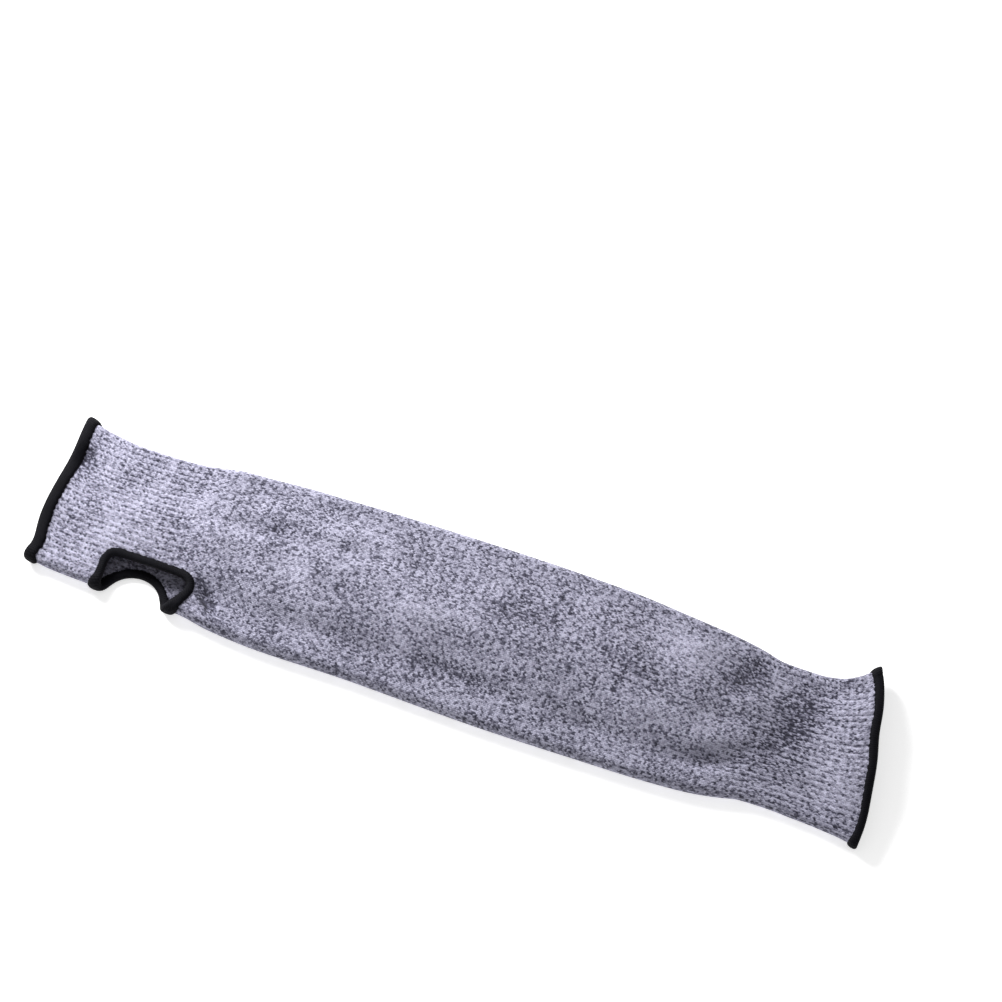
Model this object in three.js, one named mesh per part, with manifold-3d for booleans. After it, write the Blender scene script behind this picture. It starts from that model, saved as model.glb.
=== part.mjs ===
// Cut resistant sleeve: one seamless knitted tube with a ribbed cuff at each end, lying flat,
// its two mouths and its thumb hole wrapped in black overlock yarn. Millimetres, +Z up. The hand
// end is at -X, the upper-arm end at +X, and the thumb hole is in the fold on the -Y side.

import * as THREE from 'three';
import { mergeVertices } from 'three/addons/utils/BufferGeometryUtils.js';
import Module from 'manifold-3d';

const { clamp, degToRad, lerp, smoothstep } = THREE.MathUtils;

// Stretches along the sleeve, at the folds
const HAND_CUFF_LENGTH = 69;
const BODY_LENGTH = 316;
const UPPER_CUFF_LENGTH = 64;

// Outer widths of the lying sleeve, from fold to fold
const HAND_MOUTH_WIDTH = 86.4;
const HAND_CUFF_WIDTH = 84;
const BODY_WIDTH = 99.6;
const UPPER_CUFF_WIDTH = 78.8;
const UPPER_MOUTH_WIDTH = 94.5;

// Fabric, its folds and how far the top layer domes over them
const FABRIC_THICKNESS = 1.3;
const CUFF_FOLD_RADIUS = 3.6;
const BODY_FOLD_RADIUS = 4.6;
const CUFF_CROWN = 2.8;
const BODY_CROWN = 6.5;

// Mouths: how much further one fold reaches than the other, how far the middle bows out past
// the folds, and how high the flared corner curls off the surface
const HAND_MOUTH_LEAN = 0.8;
const HAND_MOUTH_BOW = 1.2;
const UPPER_MOUTH_LEAN = 13.6;
const UPPER_MOUTH_BOW = 4.2;
const UPPER_CORNER_CURL = 2.5;

// Thumb hole in the fabric: middle, length and reach from the fold, on the top and lower layers
const THUMB_HOLE_TOP_MIDDLE = 64.1;
const THUMB_HOLE_TOP_LENGTH = 48.6;
const THUMB_HOLE_TOP_REACH = 21.8;
const THUMB_HOLE_LOWER_MIDDLE = 61.5;
const THUMB_HOLE_LOWER_LENGTH = 35.5;
const THUMB_HOLE_LOWER_REACH = 19;

// Overlocked bindings: width seen from above, depth of yarn on each face, and the gap that the
// yarn keeps to the fabric
const HAND_BINDING_WIDTH = 6.4;
const UPPER_BINDING_WIDTH = 4;
const THUMB_BINDING_WIDTH = 4;
const BINDING_DEPTH = 1;
const BINDING_GAP = 0.3;
const BINDING_ROLL = 1.4;

// How finely the surfaces are divided
const FOLD_STEPS = 8;
const TOP_STEPS = 10;
const LOWER_STEPS = 4;
const CUFF_STEP = 7;
const BODY_STEP = 10.5;
const THUMB_HOLE_STEPS = 48;

const KNIT_COLOUR = 0x9796ab;
const BINDING_COLOUR = 0x17161d;

const sleeveLength = HAND_CUFF_LENGTH + BODY_LENGTH + UPPER_CUFF_LENGTH;
const bindingReach = BINDING_GAP + BINDING_DEPTH;

// Stations, measured from the fabric's edge at the hand end
const onHandCuff = (share) => share * HAND_CUFF_LENGTH;
const onBody = (share) => HAND_CUFF_LENGTH + share * BODY_LENGTH;
const onUpperCuff = (share) => HAND_CUFF_LENGTH + BODY_LENGTH + share * UPPER_CUFF_LENGTH;

// Sections of the lying sleeve. Columns: the station, the outer width, how far the middle sits off
// the straight axis as a share of the body's width, how full the section is from cuff (0) to body
// (1), and how far the lower layer is held off the surface by the bindings (1) or lies on it (0).
const sections = [
  { at: onHandCuff(0.00), width: 1.000 * HAND_MOUTH_WIDTH, shift: -0.004, full: 0.10, held: 1 },
  { at: onHandCuff(0.20), width: 1.010 * HAND_CUFF_WIDTH, shift: -0.033, full: 0.00, held: 1 },
  { at: onHandCuff(0.48), width: 0.994 * HAND_CUFF_WIDTH, shift: -0.048, full: 0.00, held: 1 },
  { at: onHandCuff(0.77), width: 1.001 * HAND_CUFF_WIDTH, shift: -0.050, full: 0.05, held: 1 },
  { at: onHandCuff(1.00), width: 1.011 * HAND_CUFF_WIDTH, shift: -0.043, full: 0.20, held: 1 },
  { at: onBody(0.060), width: 0.890 * BODY_WIDTH, shift: -0.027, full: 0.50, held: 1 },
  { at: onBody(0.120), width: 0.933 * BODY_WIDTH, shift: -0.034, full: 0.75, held: 0.3 },
  { at: onBody(0.200), width: 0.966 * BODY_WIDTH, shift: -0.033, full: 0.95, held: 0 },
  { at: onBody(0.370), width: 0.979 * BODY_WIDTH, shift: -0.022, full: 1.00, held: 0 },
  { at: onBody(0.590), width: 1.000 * BODY_WIDTH, shift: -0.025, full: 1.00, held: 0 },
  { at: onBody(0.750), width: 0.984 * BODY_WIDTH, shift: -0.026, full: 1.00, held: 0 },
  { at: onBody(0.875), width: 0.942 * BODY_WIDTH, shift: -0.037, full: 0.95, held: 0 },
  { at: onBody(0.950), width: 0.900 * BODY_WIDTH, shift: -0.040, full: 0.70, held: 0 },
  { at: onBody(1.000), width: 0.844 * BODY_WIDTH, shift: -0.039, full: 0.40, held: 0 },
  { at: onUpperCuff(0.15), width: 1.009 * UPPER_CUFF_WIDTH, shift: -0.038, full: 0.15, held: 0 },
  { at: onUpperCuff(0.35), width: 0.999 * UPPER_CUFF_WIDTH, shift: -0.038, full: 0.00, held: 0 },
  { at: onUpperCuff(0.55), width: 1.005 * UPPER_CUFF_WIDTH, shift: -0.042, full: 0.00, held: 0 },
  { at: onUpperCuff(0.72), width: 1.030 * UPPER_CUFF_WIDTH, shift: -0.042, full: 0.05, held: 0.6 },
  { at: onUpperCuff(0.87), width: 0.910 * UPPER_MOUTH_WIDTH, shift: -0.029, full: 0.10, held: 1 },
  { at: onUpperCuff(1.00), width: 1.000 * UPPER_MOUTH_WIDTH, shift: -0.001, full: 0.15, held: 1 },
];

// Soft valleys in the top layer, and one swell where depth is negative. Columns: the station, the
// place across from the near fold (-1) to the far one (1), the length and width as shares of the
// body's width, the depth as a share of the body's crown, and the turn from the axis in degrees.
const dents = [
  { at: onHandCuff(0.07), across: 0.52, length: 0.10, width: 0.09, depth: 0.14, turn: 75 },
  { at: onBody(0.105), across: -0.86, length: 0.10, width: 0.045, depth: 0.30, turn: -37 },
  { at: onBody(0.260), across: 0.38, length: 0.75, width: 0.060, depth: 0.26, turn: 4.4 },
  { at: onBody(0.290), across: -0.70, length: 0.70, width: 0.065, depth: 0.22, turn: 0 },
  { at: onBody(0.720), across: -0.74, length: 0.75, width: 0.070, depth: 0.34, turn: -1 },
  { at: onBody(0.940), across: -0.78, length: 0.17, width: 0.055, depth: 0.30, turn: 8 },
  { at: onBody(0.960), across: -0.06, length: 0.25, width: 0.060, depth: 0.24, turn: 17 },
  { at: onBody(1.000), across: -0.50, length: 0.12, width: 0.060, depth: 0.20, turn: 36 },
  { at: onUpperCuff(0.18), across: 0.72, length: 0.26, width: 0.100, depth: 0.22, turn: -16 },
  { at: onUpperCuff(0.78), across: 0.60, length: 0.14, width: 0.120, depth: -0.24, turn: 60 },
];

// Uneven reach of the mouths' edges. Columns: the place across from the near fold (-1) to the far
// one (1), the width as a share of the half width, and the reach outwards as a share of the width.
const handMouthWaves = [
  { across: -0.80, width: 0.24, out: -0.032 },
  { across: 0.30, width: 0.40, out: -0.016 },
];
const upperMouthWaves = [
  { across: -0.80, width: 0.35, out: 0.017 },
  { across: 0.20, width: 0.22, out: -0.013 },
];

// Sum of the waves at a place across, each a bell
function waveAt(waves, aside) {
  const bells = waves.map((wave) => wave.out * Math.exp(-(((aside - wave.across) / wave.width) ** 2)));
  return bells.reduce((sum, bell) => sum + bell, 0);
}

// Value of one column at a station. Between two rows it is a cubic whose slope at a row is the
// harmonic mean of the slopes beside it, or level at a peak. Past the ends the slope runs on.
function columnAt(column, station) {
  const last = sections.length - 1;
  const beyond = (row, slopeThere) => row[column] + slopeThere * (station - row.at);
  const rise = (i) => (sections[i + 1][column] - sections[i][column]) / (sections[i + 1].at - sections[i].at);
  const slope = (i) => {
    if (i === 0) return rise(0);
    if (i === last) return rise(last - 1);
    const before = rise(i - 1);
    const after = rise(i);
    return before * after <= 0 ? 0 : (2 * before * after) / (before + after);
  };
  if (station <= sections[0].at) return beyond(sections[0], slope(0));
  if (station >= sections[last].at) return beyond(sections[last], slope(last));
  const i = sections.findIndex((row) => row.at > station) - 1;
  const span = sections[i + 1].at - sections[i].at;
  const t = (station - sections[i].at) / span;
  const ease = t * t * (3 - 2 * t);
  const leave = span * slope(i) * t * (1 - t) * (1 - t);
  const arrive = span * slope(i + 1) * t * t * (t - 1);
  return lerp(sections[i][column], sections[i + 1][column], ease) + leave + arrive;
}

// Middle of the fabric's thickness at a station: two half-round folds joined by a flat lower layer
// and a domed top one. Reach is the distance from the middle to a fold's centre.
function sectionAt(station) {
  const full = columnAt('full', station);
  const radius = lerp(CUFF_FOLD_RADIUS, BODY_FOLD_RADIUS, full);
  return {
    station,
    radius,
    crown: lerp(CUFF_CROWN, BODY_CROWN, full),
    reach: (columnAt('width', station) - FABRIC_THICKNESS) / 2 - radius,
    middle: columnAt('shift', station) * BODY_WIDTH,
    floor: FABRIC_THICKNESS / 2 + columnAt('held', station) * bindingReach,
  };
}

// Depth of all the dents at a place on the top layer: each is a bell, long one way and narrow the
// other, and all of them fade out at the folds.
function dentDepth(section, across) {
  let depth = 0;
  for (const dent of dents) {
    const along = section.station - dent.at;
    const aside = (across - dent.across) * section.reach;
    const turn = degToRad(dent.turn);
    const u = (along * Math.cos(turn) + aside * Math.sin(turn)) / (dent.length * BODY_WIDTH);
    const v = (aside * Math.cos(turn) - along * Math.sin(turn)) / (dent.width * BODY_WIDTH);
    depth += dent.depth * BODY_CROWN * Math.exp(-u * u - v * v);
  }
  return depth * (1 - across ** 6) ** 2;
}

// Height of the top layer over the top of the folds
function domeHeight(section, across) {
  return section.crown * (1 - across * across) ** 2 - dentDepth(section, across);
}

// Point of the section and its outward normal. The turn runs round the tube: 0 to 1 up the near
// fold, 1 to 2 over the top layer, 2 to 3 down the far fold and 3 to 4 back along the lower layer.
function sectionPoint(section, turn) {
  const { radius, reach, floor } = section;
  const lap = THREE.MathUtils.euclideanModulo(turn, 4);
  const angle = Math.PI * (lap % 1);
  if (lap < 1) {
    const normal = [-Math.sin(angle), -Math.cos(angle)];
    return { y: -reach + radius * normal[0], z: floor + radius + radius * normal[1], normal };
  }
  if (lap < 2) {
    const across = 2 * (lap - 1) - 1;
    const step = 0.01;
    const rise = domeHeight(section, across + step) - domeHeight(section, across - step);
    const slope = rise / (2 * step * reach);
    const size = Math.hypot(1, slope);
    const height = floor + 2 * radius + domeHeight(section, across);
    return { y: across * reach, z: height, normal: [-slope / size, 1 / size] };
  }
  if (lap < 3) {
    const normal = [Math.sin(angle), Math.cos(angle)];
    return { y: reach + radius * normal[0], z: floor + radius + radius * normal[1], normal };
  }
  return { y: (1 - 2 * (lap - 3)) * reach, z: floor, normal: [0, -1] };
}

// Place on the sleeve: station along it, turn round it, offset outwards from the fabric's middle.
// The lean, bow and waves of the mouths and the curl of the flared corner fade out along the cuffs.
function shellPoint(station, turn, offset) {
  const section = sectionAt(station);
  const { y, z, normal } = sectionPoint(section, turn);
  const aside = clamp(y / (section.reach + section.radius), -1, 1);
  const nearHand = 1 - smoothstep(station, 0, HAND_CUFF_LENGTH);
  const nearArm = smoothstep(station, sleeveLength - UPPER_CUFF_LENGTH, sleeveLength);
  const handWave = HAND_MOUTH_WIDTH * waveAt(handMouthWaves, aside);
  const armWave = UPPER_MOUTH_WIDTH * waveAt(upperMouthWaves, aside);
  const handShift = HAND_MOUTH_LEAN * aside / 2 - HAND_MOUTH_BOW * (1 - aside * aside) - handWave;
  const armShift = UPPER_MOUTH_BOW * (1 - aside * aside) - UPPER_MOUTH_LEAN * aside / 2 + armWave;
  const curl = UPPER_CORNER_CURL * (nearArm * (1 + aside) / 2) ** 2;
  return new THREE.Vector3(
    station - sleeveLength / 2 + nearHand * handShift + nearArm * armShift,
    section.middle + y + offset * normal[0],
    z + offset * normal[1] + curl,
  );
}

// Turn of the place that lies an arc length over (+) or under (-) the middle of the near fold
function turnAt(station, arc) {
  const { radius, reach } = sectionAt(station);
  const quarter = Math.PI * radius / 2;
  if (Math.abs(arc) <= quarter) return 0.5 + arc / (2 * quarter);
  const beyond = (Math.abs(arc) - quarter) / (2 * reach);
  return arc > 0 ? 1 + beyond : -beyond;
}

// Evenly spaced values from one to the other, both included
function spaced(from, to, step) {
  const count = Math.max(1, Math.round((to - from) / step));
  return Array.from({ length: count + 1 }, (_, i) => lerp(from, to, i / count));
}

// Turns that the tube and its end bindings share
function turnsRound() {
  const steps = [FOLD_STEPS, TOP_STEPS, FOLD_STEPS, LOWER_STEPS];
  return steps.flatMap((count, lap) => Array.from({ length: count }, (_, i) => lap + i / count));
}

// Closed surface of rings of equal size, each joined to the next and the last to the first
function ringSurface(rings) {
  const size = rings[0].length;
  const points = rings.flat();
  const faces = [];
  for (let i = 0; i < rings.length; i += 1) {
    const next = (i + 1) % rings.length;
    for (let j = 0; j < size; j += 1) {
      const side = (j + 1) % size;
      faces.push(i * size + j, next * size + j, next * size + side);
      faces.push(i * size + j, next * size + side, i * size + side);
    }
  }
  return indexedGeometry(points, faces);
}

function indexedGeometry(points, faces) {
  const geometry = new THREE.BufferGeometry();
  geometry.setAttribute('position', new THREE.Float32BufferAttribute(points.flatMap((p) => p.toArray()), 3));
  geometry.setIndex(faces);
  return geometry;
}

// Knitted tube: the outer wall from hand to arm, then back along the inner wall, closed on itself
function tubeGeometry() {
  const handCover = HAND_BINDING_WIDTH - BINDING_GAP - BINDING_ROLL;
  const armCover = UPPER_BINDING_WIDTH - BINDING_GAP - BINDING_ROLL;
  const stations = [
    0,
    ...spaced(handCover, HAND_CUFF_LENGTH, CUFF_STEP),
    ...spaced(HAND_CUFF_LENGTH, HAND_CUFF_LENGTH + BODY_LENGTH, BODY_STEP).slice(1),
    ...spaced(HAND_CUFF_LENGTH + BODY_LENGTH, sleeveLength - armCover, CUFF_STEP).slice(1),
    sleeveLength,
  ];
  const turns = turnsRound();
  const ring = (offset) => (station) => turns.map((turn) => shellPoint(station, turn, offset));
  const outer = stations.map(ring(FABRIC_THICKNESS / 2));
  const inner = stations.map(ring(-FABRIC_THICKNESS / 2)).reverse();
  return ringSurface([...outer, ...inner]);
}

// Edge of the thumb hole as points with a station and an arc length from the near fold's middle.
// On the top layer it is a box with round corners, on the lower one a plain arch, and middle and
// length pass smoothly from the one to the other round the fold, where the points lie closer.
function thumbHoleEdge() {
  const CROWDING = 0.25;
  const BOX_POWER = 7;
  const ARCH_POWER = 2;
  const changeStart = -THUMB_HOLE_LOWER_REACH / 6;
  const changeEnd = 0.8 * THUMB_HOLE_TOP_REACH;
  return Array.from({ length: THUMB_HOLE_STEPS }, (_, i) => {
    const even = 2 * Math.PI * i / THUMB_HOLE_STEPS;
    const angle = even - CROWDING * Math.sin(2 * even);
    const over = i <= THUMB_HOLE_STEPS / 2;
    const power = over ? BOX_POWER : ARCH_POWER;
    const size = (Math.abs(Math.cos(angle)) ** power + Math.abs(Math.sin(angle)) ** power) ** (-1 / power);
    const arc = size * Math.sin(angle) * (over ? THUMB_HOLE_TOP_REACH : THUMB_HOLE_LOWER_REACH);
    const share = smoothstep(arc, changeStart, changeEnd);
    const length = lerp(THUMB_HOLE_LOWER_LENGTH, THUMB_HOLE_TOP_LENGTH, share);
    const middle = lerp(THUMB_HOLE_LOWER_MIDDLE, THUMB_HOLE_TOP_MIDDLE, share);
    return { station: middle + size * Math.cos(angle) * length / 2, arc };
  });
}

// Solid that cuts the thumb hole: the hole's area, thick enough to pass through the fabric, as an
// outer and an inner layer of level rows from the hole's left edge to its right one. The first and
// the last row are single points. Rows and columns are fine enough to follow the curve of the fold.
function thumbHoleCutter() {
  const THROUGH = 2 * FABRIC_THICKNESS;
  const COLUMNS = 6;
  const edge = thumbHoleEdge();
  const half = edge.length / 2;
  const top = half / 2;
  const points = [];
  const rowAt = (offset, j) => {
    const left = edge[(top + j) % edge.length];
    const right = edge[(top - j + edge.length) % edge.length];
    const single = j === 0 || j === half;
    const places = Array.from({ length: single ? 1 : COLUMNS + 1 }, (_, column) => {
      const station = lerp(left.station, right.station, column / COLUMNS);
      points.push(shellPoint(station, turnAt(station, left.arc), offset));
      return points.length - 1;
    });
    return Array.from({ length: COLUMNS + 1 }, (_, column) => places[single ? 0 : column]);
  };
  const [outer, inner] = [THROUGH, -THROUGH].map((offset) =>
    Array.from({ length: half + 1 }, (_, j) => rowAt(offset, j)));
  const faces = [];
  const addFace = (a, b, c) => {
    if (a !== b && b !== c && c !== a) faces.push(a, b, c);
  };
  const addQuad = (a, b, c, d) => {
    addFace(a, b, c);
    addFace(a, c, d);
  };
  for (let j = 0; j < half; j += 1) {
    for (let column = 0; column < COLUMNS; column += 1) {
      addQuad(outer[j][column], outer[j + 1][column], outer[j + 1][column + 1], outer[j][column + 1]);
      addQuad(inner[j][column], inner[j][column + 1], inner[j + 1][column + 1], inner[j + 1][column]);
    }
    addQuad(outer[j][0], inner[j][0], inner[j + 1][0], outer[j + 1][0]);
    addQuad(outer[j][COLUMNS], outer[j + 1][COLUMNS], inner[j + 1][COLUMNS], inner[j][COLUMNS]);
  }
  return indexedGeometry(points, faces);
}

// Cross-section of a binding as [outwards from the fabric's edge, off the fabric's middle]: a
// rounded roll with a slot that the fabric's edge sits in
function bindingProfile(width) {
  const slot = FABRIC_THICKNESS / 2 + BINDING_GAP;
  const skin = slot + BINDING_DEPTH;
  const out = BINDING_GAP + BINDING_ROLL;
  const back = out - width;
  const bevel = 0.3 * BINDING_DEPTH;
  const inland = [[back, slot], [back, skin - bevel], [back + 2 * bevel, skin]];
  const face = [...inland, [0, skin], [0.75 * out, 0.66 * skin]];
  const mirrored = face.map(([outwards, off]) => [outwards, -off]).reverse();
  return [...face, [out, 0], ...mirrored, [BINDING_GAP, -slot], [BINDING_GAP, slot]];
}

// Binding of a mouth: direction is -1 at the hand end and 1 at the upper-arm end
function mouthBindingGeometry(edgeStation, direction, width) {
  const profile = bindingProfile(width);
  const rings = turnsRound().map((turn) =>
    profile.map(([outwards, off]) => shellPoint(edgeStation + direction * outwards, turn, off)));
  return ringSurface(direction < 0 ? rings : rings.reverse());
}

// Binding of the thumb hole: the profile stands square to the hole's edge, in the fabric
function thumbBindingGeometry() {
  const edge = thumbHoleEdge();
  const profile = bindingProfile(THUMB_BINDING_WIDTH);
  const rings = edge.map((point, i) => {
    const before = edge[(i + edge.length - 1) % edge.length];
    const after = edge[(i + 1) % edge.length];
    const run = after.station - before.station;
    const rise = after.arc - before.arc;
    const size = Math.hypot(run, rise);
    return profile.map(([outwards, off]) => {
      const station = point.station - outwards * rise / size;
      const arc = point.arc + outwards * run / size;
      return shellPoint(station, turnAt(station, arc), off);
    });
  });
  return ringSurface(rings);
}

const library = await Module();
library.setup();

// Closed mesh to boolean solid
function toSolid(geometry) {
  const merged = mergeVertices(geometry, 1e-4);
  const mesh = new library.Mesh({
    numProp: 3,
    vertProperties: new Float32Array(merged.attributes.position.array),
    triVerts: new Uint32Array(merged.index.array),
  });
  return new library.Manifold(mesh);
}

// Boolean solid to closed mesh
function toGeometry(solid) {
  const mesh = solid.getMesh();
  const geometry = new THREE.BufferGeometry();
  geometry.setAttribute('position', new THREE.Float32BufferAttribute(mesh.vertProperties, 3));
  geometry.setIndex(Array.from(mesh.triVerts));
  return geometry;
}

function addPiece(group, name, geometry, material) {
  geometry.computeVertexNormals();
  const mesh = new THREE.Mesh(geometry, material);
  mesh.name = name;
  group.add(mesh);
}

function matt(color, roughness) {
  return new THREE.MeshStandardMaterial({ color, roughness, metalness: 0 });
}

const sleeve = new THREE.Group();
const knitTube = toSolid(tubeGeometry()).subtract(toSolid(thumbHoleCutter()));
const handEnd = mouthBindingGeometry(0, -1, HAND_BINDING_WIDTH);
const upperArmEnd = mouthBindingGeometry(sleeveLength, 1, UPPER_BINDING_WIDTH);
addPiece(sleeve, 'knit_tube', toGeometry(knitTube), matt(KNIT_COLOUR, 0.95));
addPiece(sleeve, 'hand_end_binding', handEnd, matt(BINDING_COLOUR, 0.7));
addPiece(sleeve, 'thumb_hole_binding', thumbBindingGeometry(), matt(BINDING_COLOUR, 0.7));
addPiece(sleeve, 'upper_arm_binding', upperArmEnd, matt(BINDING_COLOUR, 0.7));

// The origin is on the surface, under the middle of the whole
const extent = new THREE.Box3().setFromObject(sleeve, true);
const centre = extent.getCenter(new THREE.Vector3());
sleeve.position.set(-centre.x, -centre.y, -extent.min.z);

export default sleeve;
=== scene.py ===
"""Cut resistant sleeve, lying flat: grey marl knit with two ribbed cuffs, its two mouths and its
thumb hole wrapped in black overlock yarn. Metres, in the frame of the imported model."""

import math

import bpy
import numpy as np
from mathutils import Matrix, Vector


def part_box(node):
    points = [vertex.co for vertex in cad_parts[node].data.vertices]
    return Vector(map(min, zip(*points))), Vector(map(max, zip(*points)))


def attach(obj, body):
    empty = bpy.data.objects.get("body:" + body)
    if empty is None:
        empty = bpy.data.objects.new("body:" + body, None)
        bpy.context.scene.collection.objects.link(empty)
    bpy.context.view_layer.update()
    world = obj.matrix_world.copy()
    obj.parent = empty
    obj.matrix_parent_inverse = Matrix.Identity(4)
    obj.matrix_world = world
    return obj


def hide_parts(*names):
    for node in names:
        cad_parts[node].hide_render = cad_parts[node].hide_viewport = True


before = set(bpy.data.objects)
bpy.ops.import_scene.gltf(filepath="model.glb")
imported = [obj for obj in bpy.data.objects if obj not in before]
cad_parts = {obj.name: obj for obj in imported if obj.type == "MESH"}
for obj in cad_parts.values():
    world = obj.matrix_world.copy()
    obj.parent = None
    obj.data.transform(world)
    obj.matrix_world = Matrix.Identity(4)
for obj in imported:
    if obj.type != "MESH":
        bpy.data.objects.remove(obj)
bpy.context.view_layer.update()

MM = 0.001

# Stretches along the sleeve, widths from fold to fold, and the fabric with its folds
HAND_CUFF_LENGTH = 69 * MM
BODY_LENGTH = 316 * MM
UPPER_CUFF_LENGTH = 64 * MM
HAND_MOUTH_WIDTH = 86.4 * MM
HAND_CUFF_WIDTH = 84 * MM
BODY_WIDTH = 99.6 * MM
UPPER_CUFF_WIDTH = 78.8 * MM
UPPER_MOUTH_WIDTH = 94.5 * MM
FABRIC_THICKNESS = 1.3 * MM
CUFF_FOLD_RADIUS = 3.6 * MM
BODY_FOLD_RADIUS = 4.6 * MM
CUFF_CROWN = 2.8 * MM
BODY_CROWN = 6.5 * MM
SLEEVE_LENGTH = HAND_CUFF_LENGTH + BODY_LENGTH + UPPER_CUFF_LENGTH

# Mouths: lean from fold to fold, bow of the middle past the folds, curl of the flared corner
HAND_MOUTH_LEAN = 0.8 * MM
HAND_MOUTH_BOW = 1.2 * MM
UPPER_MOUTH_LEAN = 13.6 * MM
UPPER_MOUTH_BOW = 4.2 * MM
UPPER_CORNER_CURL = 2.5 * MM

# Thumb hole: middle, length and reach from the near fold, on the top and lower layers
THUMB_HOLE_TOP = dict(middle=64.1 * MM, length=48.6 * MM, reach=21.8 * MM)
THUMB_HOLE_LOWER = dict(middle=60.2 * MM, length=34 * MM, reach=16.6 * MM)

# Overlock bindings: width seen from above, yarn over each face, gap under it, roll past the edge
HAND_BINDING_WIDTH = 6.6 * MM
UPPER_BINDING_WIDTH = 4.4 * MM
THUMB_BINDING_WIDTH = 4.4 * MM
BINDING_DEPTH = 1 * MM
BINDING_GAP = 0.3 * MM
BINDING_ROLL = 1.4 * MM

# Overlock yarn: pitch of its wraps along the edge, rings of points to a wrap and points to a ring
WRAP_PITCH = 0.95 * MM
RINGS_PER_WRAP = 6
RING_POINTS = 28

# Thumb hole's binding: the length that its wraps are counted from, a little under the 142 mm of
# the edge itself, so that they lie 1 mm apart, and the points that the path is worked out from
THUMB_WRAPPED_LENGTH = 0.135
THUMB_PATH_POINTS = 720

# Extra share of width where a binding turns over a fold, and how far from the fold it spreads: as
# a share of the way round a mouth, and as the least and the greatest arc at the thumb hole
MOUTH_FLARE = 0.18
MOUTH_FLARE_SPREAD = 0.02
THUMB_FLARE = 0.62
THUMB_FLARE_LEAST_SPREAD = 6 * MM
THUMB_FLARE_GREATEST_SPREAD = 10 * MM

# Knit: stitch columns (wales) round the tube, two of them to a rib, rows (courses) along it, how
# far the cuffs' ribs rise and fall, and the room left for them in the fabric's thickness
RIBS = 54
WALES = 2 * RIBS
COURSE_PITCH = 1.15 * MM
COLUMNS_PER_RIB = 6
RIB_RELIEF = 0.15 * MM
RIB_ROOM = 0.1 * MM

# Tone of the marl knit, 0 dark to 1 pale: its mean, where it starts from, and how much each cause
# adds. The contrast about the mean grows from the hand end to the arm end.
MEAN_TONE = 0.54
BASE_TONE = -0.165
TONE_OF_LEG = 0.46
TONE_OF_CLUSTERS = 0.95
TONE_OF_PLIES = 0.35
# Painted shade in the grooves between the cuffs' ribs
TONE_OF_GROOVE_SHADE = -0.24
TONE_OF_RIBBED = 0.06
TONE_OF_STREAKS = 0.24
# Painted shade in the creases' valleys and painted light on their swells
TONE_OF_CREASE_SHADE = -0.24
TONE_OF_MOTTLE = 0.38
HAND_CONTRAST = 0.95
ARM_CONTRAST = 1.18

# Turns of the two folds' middles, and how late dents and creases fade towards the folds
NEAR_FOLD_TURN = 0.5
FAR_FOLD_TURN = 2.5
DENT_FADE_POWER = 6
CREASE_FADE_POWER = 16


def on_hand_cuff(share):
    """Station at a share of the hand cuff's length."""
    return share * HAND_CUFF_LENGTH


def on_body(share):
    """Station at a share of the body's length."""
    return HAND_CUFF_LENGTH + share * BODY_LENGTH


def on_upper_cuff(share):
    """Station at a share of the upper cuff's length."""
    return HAND_CUFF_LENGTH + BODY_LENGTH + share * UPPER_CUFF_LENGTH


# Sections of the lying sleeve, with these columns: the station, the outer width, how far the middle
# sits off the axis as a share of the body's width, how full the section is from cuff (0) to body
# (1), and how far the lower layer is held off the surface by the bindings (1) or lies on it (0)
SECTION_COLUMNS = ("at", "width", "shift", "full", "held")
SECTIONS = (
    (on_hand_cuff(0.00), 1.000 * HAND_MOUTH_WIDTH, -0.004, 0.10, 1),
    (on_hand_cuff(0.20), 1.010 * HAND_CUFF_WIDTH, -0.033, 0.00, 1),
    (on_hand_cuff(0.48), 0.994 * HAND_CUFF_WIDTH, -0.048, 0.00, 1),
    (on_hand_cuff(0.77), 1.001 * HAND_CUFF_WIDTH, -0.050, 0.05, 1),
    (on_hand_cuff(1.00), 1.011 * HAND_CUFF_WIDTH, -0.043, 0.20, 1),
    (on_body(0.060), 0.890 * BODY_WIDTH, -0.027, 0.50, 1),
    (on_body(0.120), 0.933 * BODY_WIDTH, -0.034, 0.75, 0.3),
    (on_body(0.200), 0.966 * BODY_WIDTH, -0.033, 0.95, 0),
    (on_body(0.370), 0.979 * BODY_WIDTH, -0.022, 1.00, 0),
    (on_body(0.590), 1.000 * BODY_WIDTH, -0.025, 1.00, 0),
    (on_body(0.750), 0.984 * BODY_WIDTH, -0.026, 1.00, 0),
    (on_body(0.875), 0.942 * BODY_WIDTH, -0.037, 0.95, 0),
    (on_body(0.950), 0.900 * BODY_WIDTH, -0.040, 0.70, 0),
    (on_body(1.000), 0.844 * BODY_WIDTH, -0.039, 0.40, 0),
    (on_upper_cuff(0.15), 1.009 * UPPER_CUFF_WIDTH, -0.038, 0.15, 0),
    (on_upper_cuff(0.35), 0.999 * UPPER_CUFF_WIDTH, -0.038, 0.00, 0),
    (on_upper_cuff(0.55), 1.005 * UPPER_CUFF_WIDTH, -0.042, 0.00, 0),
    (on_upper_cuff(0.72), 1.030 * UPPER_CUFF_WIDTH, -0.042, 0.05, 0.6),
    (on_upper_cuff(0.87), 0.910 * UPPER_MOUTH_WIDTH, -0.029, 0.10, 1),
    (on_upper_cuff(1.00), 1.000 * UPPER_MOUTH_WIDTH, -0.001, 0.15, 1),
)

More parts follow.
